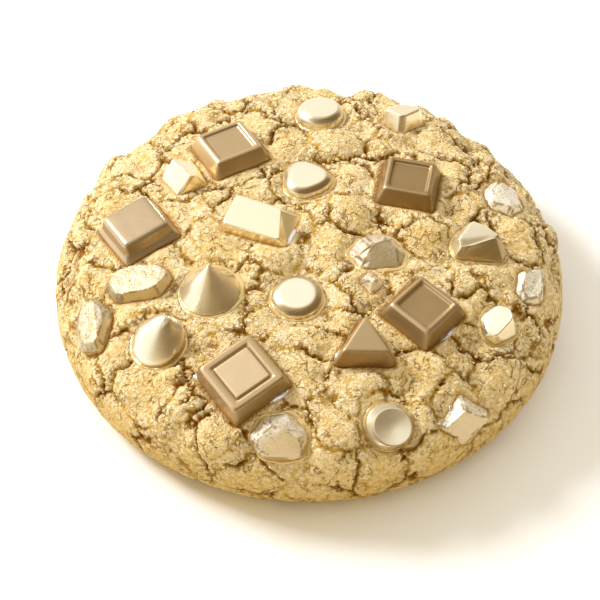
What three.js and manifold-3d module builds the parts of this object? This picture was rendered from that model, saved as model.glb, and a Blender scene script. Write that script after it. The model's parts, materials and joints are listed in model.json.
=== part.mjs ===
import * as THREE from 'three';
import Module from 'manifold-3d';

// A thick, domed chocolate chip cookie resting on its flat base, with chocolate
// pieces half sunk in its crown. Millimetres, +Z up, the front is -Y.

const wasm = await Module();
wasm.setup();

// Dough
const cookieRadius = 55; // at the widest ring
const wideHeight = 10; // height of the widest ring
const crownRise = 16.5; // from the widest ring to the crown
const crownPower = 2.7; // above 2 squares the shoulder
const baseRadius = 47; // flat underside
const footPower = 2.3;
const crownRings = 23; // ring k of the crown has pointsPerRing * k points
const pointsPerRing = 6;
const footRings = 4;
const moundRise = 1.5; // of a mound of moundReach, over the plain dome
const moundReach = 6;
const creviceDrop = 0.9; // of the dough between mounds, under the plain dome
const reliefLow = 10.5; // height where the relief has faded out
const reliefFull = 19; // height where it is whole
const fillSpacing = 7.5; // of the small mounds between the large ones
const fillReach = 4.2;

// Chocolate
const gap = 0.3; // between a piece and its socket in the dough
const pieceDepth = 3.2; // of a piece below the dome
const footTaper = 0.4; // how far a piece narrows down to its sunken foot
const socketTop = 9; // above the dome, so that no dough hangs over a piece

// Large mounds of the crown: x, y, half width, half depth, turn in degrees
const mounds = [
  [5, 28, 9, 6, 0], [6, 7, 8, 10, 0], [-8, -7, 8.5, 6, 10], [-13, 43, 7, 6, 0],
  [-8, 34, 5, 6, 0], [11, 37, 4.5, 6.5, 0], [29, 33, 7, 6, -20], [32, 16, 4.5, 8, 0],
  [24, 2, 6.5, 7, 0], [45, 5, 4.5, 6, 0], [36, -10, 8, 5.5, 0], [22, -9, 6.5, 3.5, 0],
  [8, -18, 5, 5.5, 0], [-11, -22, 6, 4, 0], [0, -28, 5.5, 5, 0], [-1, -35, 6, 3.5, 0],
  [0, -41, 6, 4, 0], [12, -38, 7, 4, 0], [6, -51, 8.5, 9, 0], [-19, -49, 7, 7, 0],
  [-7, -53, 5, 5, 0], [-25, -41, 6, 5, 20], [-43, -30, 5, 6.5, -30], [-37, -36, 4, 4.5, 0],
  [-32, -44, 6, 5, -30], [-28, -34, 5.5, 4, 30], [-21, -25, 5, 4, 0], [-39, -21, 4, 4.5, 0],
  [-32, -19, 6.5, 3, 10], [-50, 5, 4.5, 7, 0], [-47, -5, 4, 6, 0], [-23, -1, 5, 6, 0],
  [-32, -3, 7.5, 3, 27], [-30, 10, 4, 3.5, 0], [-22, 11, 4, 5, 0], [-42, 20, 4, 8, -25],
  [-36, 31, 3.5, 7, -45], [-27, 37, 4.5, 5, 0], [-14, 17, 7, 3.5, -20], [13, 18, 3, 5, 0],
  [5, -6, 5, 5, 0], [27, -33, 7.5, 5, 10], [24, -41, 4, 5, 0], [40, -30, 6, 7, 30],
  [19, -50, 7, 4.5, 15], [33, -20, 2.5, 5, 0],
];

// The dome ------------------------------------------------------------------

function crownHeight(x, y) {
  const part = Math.min(1, Math.hypot(x, y) / cookieRadius);
  return wideHeight + crownRise * (1 - part ** crownPower) ** (1 / crownPower);
}

// Upright on the crown at x, y, with its first axis level
function crownFrame(x, y) {
  const step = 0.05;
  const dx = (crownHeight(x + step, y) - crownHeight(x - step, y)) / (2 * step);
  const dy = (crownHeight(x, y + step) - crownHeight(x, y - step)) / (2 * step);
  const up = new THREE.Vector3(-dx, -dy, 1).normalize();
  const right = new THREE.Vector3(0, 1, 0).cross(up).normalize();
  const away = up.clone().cross(right);
  return { at: new THREE.Vector3(x, y, crownHeight(x, y)), right, away, up };
}

// The crown's side view, from the centre outwards, at even steps along its line
function crownLine(count) {
  const fine = 2000;
  const line = [];
  let length = 0;
  for (let i = 0; i <= fine; i++) {
    const angle = Math.PI / 2 * (1 - i / fine);
    const r = cookieRadius * Math.max(0, Math.cos(angle)) ** (2 / crownPower);
    const z = wideHeight + crownRise * Math.sin(angle) ** (2 / crownPower);
    if (i > 0) length += Math.hypot(r - line[i - 1].r, z - line[i - 1].z);
    line.push({ r, z, length });
  }
  const steps = [];
  for (let k = 0; k <= count; k++) {
    const want = length * k / count;
    steps.push(line.find((p) => p.length >= want - 1e-9));
  }
  return steps;
}

// The foot's side view, from just under the widest ring to the flat base
function footLine(count) {
  const steps = [];
  for (let k = 1; k <= count; k++) {
    const angle = Math.PI / 2 * (1 - k / count);
    const r = baseRadius + (cookieRadius - baseRadius) * Math.sin(angle) ** (2 / footPower);
    const z = wideHeight * (1 - Math.cos(angle) ** (2 / footPower));
    steps.push({ r, z: k === count ? 0 : z });
  }
  return steps;
}

// Mounds --------------------------------------------------------------------

function placeMound([x, y, wide, deep, turn]) {
  const frame = crownFrame(x, y);
  const angle = THREE.MathUtils.degToRad(turn);
  const along = frame.right.clone().multiplyScalar(Math.cos(angle));
  along.addScaledVector(frame.away, Math.sin(angle));
  const across = frame.up.clone().cross(along);
  const rise = moundRise * Math.min(1.2, Math.sqrt(wide * deep) / moundReach);
  return { at: frame.at, along, across, wide, deep, rise };
}

// Small mounds on a sunflower spread, where no large one reaches
function fillMounds(large) {
  const small = [];
  const turn = Math.PI * (3 - Math.sqrt(5));
  const count = Math.round(3.2 * (cookieRadius / fillSpacing) ** 2);
  for (let i = 0; i < count; i++) {
    const r = cookieRadius * Math.sqrt((i + 0.5) / count) * 0.97;
    const x = r * Math.cos(i * turn);
    const y = r * Math.sin(i * turn);
    const at = crownFrame(x, y).at;
    if (large.some((m) => moundDistance(m, at) < 0.95)) continue;
    const reach = fillReach * (0.8 + 0.4 * Math.abs(Math.sin(12.9 * i)));
    small.push(placeMound([x, y, reach, reach, 0]));
  }
  return small;
}

function moundDistance(mound, point) {
  const from = point.clone().sub(mound.at);
  const along = from.dot(mound.along) / mound.wide;
  const across = from.dot(mound.across) / mound.deep;
  const rest = from.lengthSq() - from.dot(mound.along) ** 2 - from.dot(mound.across) ** 2;
  return Math.hypot(along, across, Math.sqrt(Math.max(0, rest)) / mound.wide);
}

function reliefAt(point, all) {
  let height = -creviceDrop;
  for (const mound of all) {
    const far = moundDistance(mound, point);
    if (far >= 1) continue;
    const bump = (mound.rise + creviceDrop) * (1 - far ** 2.5) ** 0.7 - creviceDrop;
    height = Math.max(height, bump);
  }
  return height * THREE.MathUtils.smoothstep(point.z, reliefLow, reliefFull);
}

function liftedPoint(step, angle, all) {
  const x = step.r * Math.cos(angle);
  const y = step.r * Math.sin(angle);
  if (step.z <= reliefLow) return new THREE.Vector3(x, y, step.z);
  const frame = crownFrame(x, y);
  const point = frame.at.clone().addScaledVector(frame.up, reliefAt(frame.at, all));
  const out = Math.hypot(point.x, point.y);
  if (out > cookieRadius) point.multiply(new THREE.Vector3(cookieRadius / out, cookieRadius / out, 1));
  return point;
}

// Meshes --------------------------------------------------------------------

function closedGeometry(points, faces) {
  const geometry = new THREE.BufferGeometry();
  const flat = points.flatMap((p) => [p.x, p.y, p.z]);
  geometry.setAttribute('position', new THREE.Float32BufferAttribute(flat, 3));
  geometry.setIndex(faces.flat());
  return geometry;
}

// Joins ring k - 1 to ring k, which has pointsPerRing more points, sector by sector
function ringStrip(k, innerStart, outerStart) {
  const faces = [];
  const innerCount = pointsPerRing * (k - 1);
  const outerCount = pointsPerRing * k;
  const inner = (i) => (k === 1 ? innerStart : innerStart + i % innerCount);
  const outer = (i) => outerStart + i % outerCount;
  for (let sector = 0; sector < pointsPerRing; sector++) {
    for (let i = 0; i < k; i++) {
      const out = sector * k + i;
      const into = sector * (k - 1) + i;
      faces.push([inner(into), outer(out), outer(out + 1)]);
      if (i < k - 1) faces.push([inner(into), outer(out + 1), inner(into + 1)]);
    }
  }
  return faces;
}

function doughBody() {
  const large = mounds.map(placeMound);
  const all = [...large, ...fillMounds(large)];
  const crown = crownLine(crownRings);
  const points = [liftedPoint(crown[0], 0, all)];
  const faces = [];
  let last = 0;
  for (let k = 1; k <= crownRings; k++) {
    const start = points.length;
    const count = pointsPerRing * k;
    for (let i = 0; i < count; i++) {
      points.push(liftedPoint(crown[k], 2 * Math.PI * i / count, all));
    }
    faces.push(...ringStrip(k, last, start));
    last = start;
  }
  const round = pointsPerRing * crownRings;
  for (const step of footLine(footRings)) {
    const start = points.length;
    for (let i = 0; i < round; i++) {
      points.push(liftedPoint(step, 2 * Math.PI * i / round, all));
      const next = (i + 1) % round;
      faces.push([last + i, start + i, start + next], [last + i, start + next, last + next]);
    }
    last = start;
  }
  points.push(new THREE.Vector3(0, 0, 0));
  for (let i = 0; i < round; i++) {
    faces.push([last + (i + 1) % round, last + i, points.length - 1]);
  }
  return closedGeometry(points, faces);
}

// Outlines, counter-clockwise ---------------------------------------------------

function roundOutline(radius, count = 18, lobes = 0, depth = 0) {
  const points = [];
  for (let i = 0; i < count; i++) {
    const angle = 2 * Math.PI * i / count;
    const r = radius * (1 + depth * Math.cos(lobes * angle));
    points.push([r * Math.cos(angle), r * Math.sin(angle), 0]);
  }
  return points;
}

// Corners, which may carry a height, with each one rounded over steps points
function cornerOutline(corners, rounding = 0.14, steps = 3) {
  const points = [];
  corners.forEach((corner, i) => {
    const before = corners[(i + corners.length - 1) % corners.length];
    const after = corners[(i + 1) % corners.length];
    for (let j = 0; j < steps; j++) {
      const a = rounding * (1 - j / (steps - 1)) ** 2;
      const b = rounding * (j / (steps - 1)) ** 2;
      points.push([0, 1, 2].map((k) => {
        const here = corner[k] || 0;
        return here + ((before[k] || 0) - here) * a + ((after[k] || 0) - here) * b;
      }));
    }
  });
  return points;
}

// A square of half a side, its corners rounded off over a length in millimetres
function squareOutline(half, corner) {
  return cornerOutline([[half, half], [-half, half], [-half, -half], [half, -half]],
    corner / (2 * half));
}

function triangleOutline(half, corner) {
  return cornerOutline([[0, 1.22], [-1.06, -0.62], [1.06, -0.62]]
    .map(([x, y]) => [x * half, y * half]), corner / (2 * half));
}

// The outline moved outwards by a distance, each point square to its two edges
function grown(outline, by) {
  return outline.map((point, i) => {
    const before = outline[(i + outline.length - 1) % outline.length];
    const after = outline[(i + 1) % outline.length];
    const sides = [[before, point], [point, after]].map(([p, q]) => {
      const long = Math.hypot(q[0] - p[0], q[1] - p[1]);
      return [(q[1] - p[1]) / long, (p[0] - q[0]) / long];
    });
    const share = by / (1 + sides[0][0] * sides[1][0] + sides[0][1] * sides[1][1]);
    const x = point[0] + (sides[0][0] + sides[1][0]) * share;
    const y = point[1] + (sides[0][1] + sides[1][1]) * share;
    return [x, y, point[2] || 0];
  });
}

// A ring of a piece: an outline raised, shifted and tilted
function ring(outline, z, shift = [0, 0], slope = [0, 0]) {
  return outline.map((p) => new THREE.Vector3(p[0] + shift[0], p[1] + shift[1],
    z + (p[2] || 0) + slope[0] * p[0] + slope[1] * p[1]));
}

// Pieces ------------------------------------------------------------------------

// Skins rings of equal length from bottom to top and closes both ends
function loft(rings) {
  const n = rings[0].length;
  const faces = [];
  for (let k = 1; k < rings.length; k++) {
    for (let i = 0; i < n; i++) {
      const low = (k - 1) * n;
      const high = k * n;
      const next = (i + 1) % n;
      faces.push([low + i, low + next, high + next], [low + i, high + next, high + i]);
    }
  }
  const top = (rings.length - 1) * n;
  for (let i = 1; i < n - 1; i++) {
    faces.push([0, i + 1, i], [top, top + i, top + i + 1]);
  }
  return closedGeometry(rings.flat(), faces);
}

// A piece stands on its outline at the dough's level and narrows to a sunken foot
function piece(outline, rings) {
  const foot = [ring(grown(outline, -footTaper), -pieceDepth), ring(outline, 0)];
  const room = grown(outline, gap * 1.1);
  return {
    body: loft([...foot, ...rings]),
    socket: loft([ring(room, -pieceDepth - 3 * gap), ring(room, socketTop)]),
  };
}

// A moulded segment of a bar, with a raised rim round an inset panel
function barSquare(half, top, height, rim, inset) {
  return piece(squareOutline(half, 1.2), [
    ring(squareOutline(top + 0.3, 0.9), height - 0.4),
    ring(squareOutline(top, 0.8), height),
    ring(squareOutline(top - rim, 0.5), height),
    ring(squareOutline(top - rim - 0.35, 0.4), height - inset),
  ]);
}

// The same with a thin groove round a level panel
function groovedSquare(half, top, height, rim, groove) {
  return piece(squareOutline(half, 1.1), [
    ring(squareOutline(top + 0.3, 0.9), height - 0.4),
    ring(squareOutline(top, 0.8), height),
    ring(squareOutline(top - rim, 0.4), height),
    ring(squareOutline(top - rim - groove * 0.5, 0.4), height - groove),
    ring(squareOutline(top - rim - groove, 0.4), height),
  ]);
}

function pillowSquare(half, top, height) {
  return piece(squareOutline(half, 1.2), [
    ring(squareOutline(half - 1.1, 1.2), height * 0.3),
    ring(squareOutline(top + 0.3, 1.2), height - 0.6),
    ring(squareOutline(top, 1.1), height),
  ]);
}

// A pressed drop with a flat top, tilted by slope and off centre by shift
function button(outline, narrow, height, slope = [0, 0], shift = [0, 0]) {
  return piece(outline, [
    ring(grown(outline, -narrow * 0.2), height * 0.5, [0, 0], slope.map((s) => s * 0.5)),
    ring(grown(outline, -narrow * 0.7), height * 0.92, shift, slope),
    ring(grown(outline, -narrow), height, shift, slope),
  ]);
}

// A piped drop that runs up to a tip
function drop(radius, height, hollow, lean) {
  const rings = [0.12, 0.32, 0.55, 0.78, 0.92, 1].map((part) => {
    const r = Math.max(0.14, radius * (0.02 + 0.96 * (1 - part) ** hollow));
    return ring(roundOutline(r), height * part, lean.map((l) => l * part ** 1.5));
  });
  return piece(roundOutline(radius), rings);
}

function trianglePiece(half, top, height) {
  return piece(triangleOutline(half, 2.2), [
    ring(triangleOutline(half * 0.92, 1.8), height * 0.3),
    ring(triangleOutline(top + 0.3, 0.9), height - 0.4),
    ring(triangleOutline(top, 0.7), height),
  ]);
}

// A chopped chunk: as many top corners, with heights, as there are at its foot
function chunk(foot, top, rounding = 0.14) {
  return piece(cornerOutline(foot, rounding, 2), [ring(cornerOutline(top, rounding, 2), 0)]);
}

// Layout: node, look, place on the crown, turn in degrees, piece -----------------

const layout = [
  ['button_back', 'gold', 2.5, 37.8, 0, button(roundOutline(5.5), 1.3, 2.6)],
  ['nugget_back', 'gold', 20.8, 36.6, 0, chunk(
    [[5.8, 0.6], [-0.4, 4.4], [-5.8, -0.6], [-0.6, -5.4]],
    [[4, 0.9, 4], [-0.5, 2.2, 4], [-4.5, -0.9, 4], [-0.7, -3.7, 4]],
  )],
  ['bar_square_back_left', 'bronze', -17.2, 24.3, 28, barSquare(7, 5.4, 4.4, 1, 0.5)],
  ['block_left', 'gold', -27.4, 16.8, 0, chunk(
    [[5.6, -1.9], [3.5, 3.4], [-1.5, 5.2], [-5.2, 2], [-1, -4.8]],
    [[3.2, -2.2, 3.4], [2.8, 1.8, 3.4], [-1.4, 3.6, 3.8], [-1.9, 2.8, 4.1], [2.2, -2.9, 4.2]],
    0.08,
  )],
  ['pillow_square', 'bronze', -36.5, 2.6, 31, pillowSquare(7.1, 5.4, 4)],
  ['rounded_triangle', 'gold', -0.6, 15.9, 0, button(roundOutline(5.5, 18, 3, 0.08), 1.4, 1.9,
    [0, -0.03])],
  ['bar_block', 'gold', -10.6, 2.2, 0, chunk(
    [[9.2, 3.1], [-5.3, 6.8], [-8.6, -1.1], [5.6, -6.8]],
    [[4.6, 1.6, 4], [-4.9, 5.9, 4], [-8, -0.8, 2.5], [4.2, -6.1, 2.5]],
    0.05,
  )],
  ['bar_square_back_right', 'bronze', 21.4, 13.8, -10, barSquare(6.8, 5.1, 4.3, 0.9, 0.5)],
  ['foil_nugget_right', 'foil', 42.4, 16.4, 0, chunk(
    [[-2.6, 2.6], [-4.9, -1.4], [-4, -6.2], [0.6, -7.8], [4.3, -4.6], [3.2, 1.2]],
    [[-2.5, 0, 3], [-3.8, -1.8, 1.6], [-3.2, -5.6, 0.9], [1, -6, 1.7], [3.5, -4, 0.8],
      [2.4, 0.2, 1.4]],
  )],
  ['faceted_chip', 'gold', 36.6, -1.6, 0, chunk(
    [[5.9, -1], [2.4, 4.8], [-3.2, 5.8], [-7, 0.4], [-5.8, -4.4], [4.4, -3.8]],
    [[3.2, 0.4, 3.8], [0.4, 2.5, 4], [-2.9, 3.9, 3.8], [-5.8, -1.2, 3.3], [-5, -3.3, 2.4],
      [1.8, -0.8, 4.3]],
  )],
  ['nugget_middle', 'foil', 14, -4.4, 0, chunk(
    [[-3, 3.8], [-6, -0.6], [-3, -5.4], [5.2, -4.6], [6.4, -0.2], [3, 4.4]],
    [[-1.1, -1.5, 3.4], [-4, -2.6, 1.2], [-2.4, -4.3, 1], [4.6, -3.8, 0.8], [4.4, -1.2, 2.2],
      [2.4, 0.3, 3.4]],
  )],
  ['shard', 'foil', 12.8, -13.8, 0, chunk(
    [[2.8, 0.4], [-0.1, 3.6], [-2.6, 0.8], [0.2, -3.3]],
    [[0.8, -0.9, 2.8], [0.1, -0.2, 2.9], [-0.4, -1.1, 2.9], [0.2, -1.8, 2.7]],
  )],
  ['foil_block_right', 'foil', 46.6, -8.4, 0, chunk(
    [[3.5, 3.4], [-2.6, 1.8], [-3.4, -4], [-1.2, -6.6], [3.2, -5]],
    [[2.5, 2.6, 1.9], [-1.8, 1.1, 1.8], [-2.4, -3.6, 1.1], [-0.8, -5.6, 0.9], [2.1, -4.4, 1.7]],
  )],
  ['bar_square_right', 'bronze', 23.4, -21.4, 49, barSquare(6.9, 5.2, 4.2, 0.9, 0.5)],
  ['chip_right', 'gold', 39.4, -20.8, 0, chunk(
    [[4.8, -1.4], [1.2, 4.2], [-2.4, 3.4], [-4.3, 0.4], [-3.6, -4], [-0.6, -5.8]],
    [[1.6, -1.2, 4.3], [1, 1.4, 4], [-1.2, 2.4, 2.8], [-3.6, 0.4, 1.1], [-3, -3.5, 1.2],
      [-1.2, -4.9, 2.1]],
  )],
  ['foil_bar', 'foil', -37.1, -10.6, 0, chunk(
    [[7, 2], [0.8, 3], [-4.6, 1.6], [-5.8, -2], [-3.5, -5.9], [5.4, -5.8], [8.8, -1.2]],
    [[6.6, 1, 2.7], [0.8, 2, 2.9], [-3.6, 0.6, 3], [-4.6, -1.8, 2.8], [-2.8, -5.2, 2.4],
      [5, -4.8, 2.6], [8.2, -1.4, 2.4]],
  )],
  ['cone_drop', 'gold', -20.8, -15.2, 0, drop(6.5, 9, 1.12, [0.6, 0])],
  ['button_middle', 'gold', -2.6, -17.6, 0, button(roundOutline(5.7), 1.7, 1.8)],
  ['foil_lump_left', 'foil', -46.2, -17.6, 0, chunk(
    [[2.3, 3.8], [-1.4, 4.6], [-3.6, -0.8], [-2.6, -8], [2.6, -9], [5.6, -1]],
    [[2.2, 2.2, 2.6], [-0.6, 3.4, 1.8], [-2.4, -1, 1.3], [-1.6, -6.6, 1.1], [2.2, -7.4, 1.8],
      [4.4, -0.8, 1.2]],
  )],
  ['kiss_drop', 'gold', -31.4, -27, 0, drop(5.8, 6.6, 0.6, [3, 1.6])],
  ['bar_square_front', 'gold', -13.5, -37.6, 35, groovedSquare(7.4, 6.3, 4.2, 1.7, 0.5)],
  ['triangle', 'bronze', 11.2, -30.6, 1, trianglePiece(7, 4.6, 4.3)],
  ['nugget_front', 'foil', -6.5, -47.9, 0, chunk(
    [[2.7, 3.5], [-2.8, 2.8], [-6, -1], [-3.8, -5.6], [4.4, -6.2], [6.3, -1.4]],
    [[0.4, -0.2, 3.4], [-1.2, 0.5, 2.9], [-4.8, -2.5, 1.5], [-3.2, -4.8, 0.6], [3.8, -5.5, 0.5],
      [4.8, -2.6, 1.7]],
  )],
  ['button_front', 'gold', 15.9, -46.5, 0, button(roundOutline(5), 1.2, 1.8, [0.03, -0.06],
    [0.6, -0.4])],
  ['cube_front', 'foil', 30.5, -40.8, 0, chunk(
    [[7.4, 1.2, -0.9], [-0.6, 3, 0], [-4.4, -5, -0.6], [3.7, -7, -3.2]],
    [[6.8, -0.7, 1], [0.4, -1, 3], [-2.4, -5.4, 0.6], [3.4, -6.3, -2]],
    0.08,
  )],
];

const looks = {
  dough: { color: 0xd8b77c, roughness: 0.9, metalness: 0 },
  bronze: { color: 0x9c7a48, roughness: 0.45, metalness: 0.3 },
  gold: { color: 0xe3c894, roughness: 0.35, metalness: 0.3 },
  foil: { color: 0xece0c0, roughness: 0.5, metalness: 0.3 },
};

// Onto the crown --------------------------------------------------------------

function ontoCrown(geometry, x, y, turn) {
  const { at, right, away, up } = crownFrame(x, y);
  const matrix = new THREE.Matrix4().makeBasis(right, away, up).setPosition(at);
  matrix.multiply(new THREE.Matrix4().makeRotationZ(THREE.MathUtils.degToRad(turn)));
  return geometry.applyMatrix4(matrix);
}

function solidOf(geometry) {
  return new wasm.Manifold(new wasm.Mesh({
    numProp: 3,
    vertProperties: Float32Array.from(geometry.getAttribute('position').array),
    triVerts: Uint32Array.from(geometry.getIndex().array),
  }));
}

function geometryOf(solid) {
  const mesh = solid.getMesh();
  const geometry = new THREE.BufferGeometry();
  geometry.setAttribute('position', new THREE.Float32BufferAttribute(mesh.vertProperties, 3));
  geometry.setIndex(Array.from(mesh.triVerts));
  return geometry;
}

function namedMesh(name, geometry, look) {
  geometry.computeVertexNormals();
  const material = new THREE.MeshStandardMaterial({ ...looks[look], flatShading: true });
  const mesh = new THREE.Mesh(geometry, material);
  mesh.name = name;
  return mesh;
}

const group = new THREE.Group();
group.name = 'chocolate_chip_cookie';
let dough = solidOf(doughBody());
for (const [name, look, x, y, turn, { body, socket }] of layout) {
  dough = dough.subtract(solidOf(ontoCrown(socket, x, y, turn)));
  group.add(namedMesh(name, ontoCrown(body, x, y, turn), look));
}
group.add(namedMesh('dough', geometryOf(dough), 'dough'));

export default group;
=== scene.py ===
import json
import math
from functools import partial
import bmesh
import bpy
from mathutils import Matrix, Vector
from mathutils.bvhtree import BVHTree


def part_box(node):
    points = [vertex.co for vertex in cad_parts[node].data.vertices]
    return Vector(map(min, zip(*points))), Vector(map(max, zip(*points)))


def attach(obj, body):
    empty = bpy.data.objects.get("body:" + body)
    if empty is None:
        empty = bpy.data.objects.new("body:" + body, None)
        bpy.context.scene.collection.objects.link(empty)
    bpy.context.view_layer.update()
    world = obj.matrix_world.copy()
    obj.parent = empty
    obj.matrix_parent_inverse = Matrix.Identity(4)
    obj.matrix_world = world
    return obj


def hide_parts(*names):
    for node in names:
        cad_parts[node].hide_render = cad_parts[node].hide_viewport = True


# A domed chocolate chip cookie: craggy dough with chocolate pieces half sunk in its crown.
# Sizes in the dictionaries are in millimetres unless a note says otherwise.

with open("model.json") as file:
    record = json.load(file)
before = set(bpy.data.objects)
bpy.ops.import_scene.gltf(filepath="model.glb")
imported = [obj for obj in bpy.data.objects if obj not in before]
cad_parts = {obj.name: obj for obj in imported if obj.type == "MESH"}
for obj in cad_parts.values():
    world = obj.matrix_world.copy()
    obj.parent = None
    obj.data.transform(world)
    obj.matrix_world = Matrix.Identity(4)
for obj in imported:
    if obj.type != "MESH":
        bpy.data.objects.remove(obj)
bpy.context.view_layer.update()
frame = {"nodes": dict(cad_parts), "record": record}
mm = 0.001
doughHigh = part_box("dough")[1]
nodeSlot = {part["node"]: part["material_slot"] for part in frame["record"]["subparts"]}
chipNodes = [name for name in sorted(frame["nodes"]) if name != "dough"]


# Helpers for node trees and meshes

# Gives inputs of a node their values: a link for a socket, else a constant
def fill(node, inputs):
    for key, value in inputs.items():
        if isinstance(value, bpy.types.NodeSocket):
            node.id_data.links.new(value, node.inputs[key])
        else:
            node.inputs[key].default_value = value


def addNode(tree, kind, inputs=None, **settings):
    node = tree.nodes.new(kind)
    for name, value in settings.items():
        setattr(node, name, value)
    fill(node, inputs or {})
    return node


# A new node's first output
def made(tree, kind, inputs=None, **settings):
    return addNode(tree, kind, inputs, **settings).outputs[0]


# The helpers below work in the tree that their sockets belong to
def maths(operation, *values):
    tree = next(value.id_data for value in values if isinstance(value, bpy.types.NodeSocket))
    return made(tree, "ShaderNodeMath", dict(enumerate(values)), operation=operation)


times, timesPlus, plus, minus, larger, smaller = (partial(maths, operation) for operation in (
    "MULTIPLY", "MULTIPLY_ADD", "ADD", "SUBTRACT", "MAXIMUM", "MINIMUM"))


def vectorMaths(operation, first, second, output="Vector"):
    inputs = {0: first, 1: second}
    return addNode(first.id_data, "ShaderNodeVectorMath", inputs, operation=operation).outputs[output]


def scaled(vector, factor):
    inputs = {0: vector, "Scale": factor}
    return made(vector.id_data, "ShaderNodeVectorMath", inputs, operation="SCALE")


# 1 where a vector points the given way, 0 across it
def facing(vector, way):
    return vectorMaths("DOT_PRODUCT", vector, Vector(way).normalized(), "Value")


def axes(vector):
    return addNode(vector.id_data, "ShaderNodeSeparateXYZ", {0: vector}).outputs


# 0 below low and 1 above high, or the other way round where low is the larger
def ramp(value, low, high):
    inputs = {"Value": value, "From Min": low, "From Max": high}
    return made(value.id_data, "ShaderNodeMapRange", inputs, interpolation_type="SMOOTHSTEP")


def noise(vector, scale, detail=2.0, roughness=0.5):
    inputs = {"Vector": vector, "Scale": scale, "Detail": detail, "Roughness": roughness}
    return made(vector.id_data, "ShaderNodeTexNoise", inputs)


# A place shifted at random by up to half a reach
def noiseVector(vector, scale, reach):
    inputs = {"Vector": vector, "Scale": scale, "Detail": 2.0}
    colour = addNode(vector.id_data, "ShaderNodeTexNoise", inputs).outputs[1]
    centred = vectorMaths("SUBTRACT", colour, (0.5, 0.5, 0.5))
    return vectorMaths("ADD", vector, scaled(centred, reach))


# Distance from the middle of uneven cells, or from their edges
def cells(vector, scale, feature="F1"):
    inputs = {"Vector": vector, "Scale": scale}
    return addNode(vector.id_data, "ShaderNodeTexVoronoi", inputs, feature=feature).outputs["Distance"]


# A new geometry tree with a named input for each size; None stands for an object
def geometryTree(name, sizes):
    tree = bpy.data.node_groups.new(name, "GeometryNodeTree")
    tree.interface.new_socket("Geometry", in_out="INPUT", socket_type="NodeSocketGeometry")
    tree.interface.new_socket("Geometry", in_out="OUTPUT", socket_type="NodeSocketGeometry")
    kinds = {float: "NodeSocketFloat", int: "NodeSocketInt"}
    for key, value in sizes.items():
        kind = kinds.get(type(value), "NodeSocketObject")
        socket = tree.interface.new_socket(key, in_out="INPUT", socket_type=kind)
        if type(value) in kinds:
            socket.default_value = value
    return tree, tree.nodes.new("NodeGroupInput").outputs


# Ends a tree: loose instances made real, one material, smooth faces
def closeTree(tree, geometry, material):
    real = made(tree, "GeometryNodeRealizeInstances", {0: geometry})
    smooth = made(tree, "GeometryNodeSetShadeSmooth", {0: real})
    finish = made(tree, "GeometryNodeSetMaterial", {0: smooth, "Material": material})
    addNode(tree, "NodeGroupOutput", {0: finish})
    return tree


def addTree(piece, tree, sizes):
    modifier = piece.modifiers.new(tree.name, "NODES")
    modifier.node_group = tree
    for socket in tree.interface.items_tree:
        if socket.in_out == "INPUT" and socket.name in sizes:
            modifier[socket.identifier] = sizes[socket.name]


# What the modifiers give becomes the piece's own mesh
def bake(piece):
    bpy.context.view_layer.update()
    graph = bpy.context.evaluated_depsgraph_get()
    mesh = bpy.data.meshes.new_from_object(piece.evaluated_get(graph), preserve_all_data_layers=True,
                                           depsgraph=graph)
    piece.modifiers.clear()
    piece.data = mesh
    mesh.name = piece.name


# An object for some data, linked into the scene
def linked(name, data):
    thing = bpy.data.objects.new(name, data)
    bpy.context.scene.collection.objects.link(thing)
    return thing


def newPiece(name, vertices, faces, edges=()):
    mesh = bpy.data.meshes.new(name)
    mesh.from_pydata(vertices, edges, faces)
    mesh.update()
    return linked(name, mesh)


def fromWork(name, work):
    mesh = bpy.data.meshes.new(name)
    work.to_mesh(mesh)
    work.free()
    return linked(name, mesh)


def smoothFaces(piece):
    for face in piece.data.polygons:
        face.use_smooth = True


def shell(piece):
    graph = bpy.context.evaluated_depsgraph_get()
    return BVHTree.FromObject(piece, graph)


# Materials

def newMaterial(name):
    material = bpy.data.materials.new(name)
    material.use_nodes = True
    tree = material.node_tree
    tree.nodes.clear()
    shader = tree.nodes.new("ShaderNodeBsdfPrincipled")
    addNode(tree, "ShaderNodeOutputMaterial", {0: shader.outputs[0]})
    place = tree.nodes.new("ShaderNodeTexCoord").outputs["Object"]
    return material, shader, scaled(place, 1 / mm)


def mixColour(factor, first, second, blend="MIX"):
    colours = [c if isinstance(c, bpy.types.NodeSocket) else (*c, 1.0) for c in (first, second)]
    inputs = {0: factor, 6: colours[0], 7: colours[1]}
    return addNode(factor.id_data, "ShaderNodeMix", inputs, data_type="RGBA", blend_type=blend).outputs[2]


# Lays a share of a colour over another where a mask is 1
def layer(base, mask, share, colour, blend="MIX"):
    return mixColour(times(mask, share), base, colour, blend)


# A value that runs from low to high as another runs from 0 to 1
def spread(value, low, high):
    inputs = {"Value": value, "To Min": low, "To Max": high}
    return made(value.id_data, "ShaderNodeMapRange", inputs)


def attribute(material, name):
    return addNode(material.node_tree, "ShaderNodeAttribute", attribute_name=name).outputs["Fac"]


def bump(height, strength, distance, normal=None):
    inputs = {"Height": height, "Strength": strength, "Distance": distance * mm}
    if normal is not None:
        inputs["Normal"] = normal
    return made(height.id_data, "ShaderNodeBump", inputs)


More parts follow.
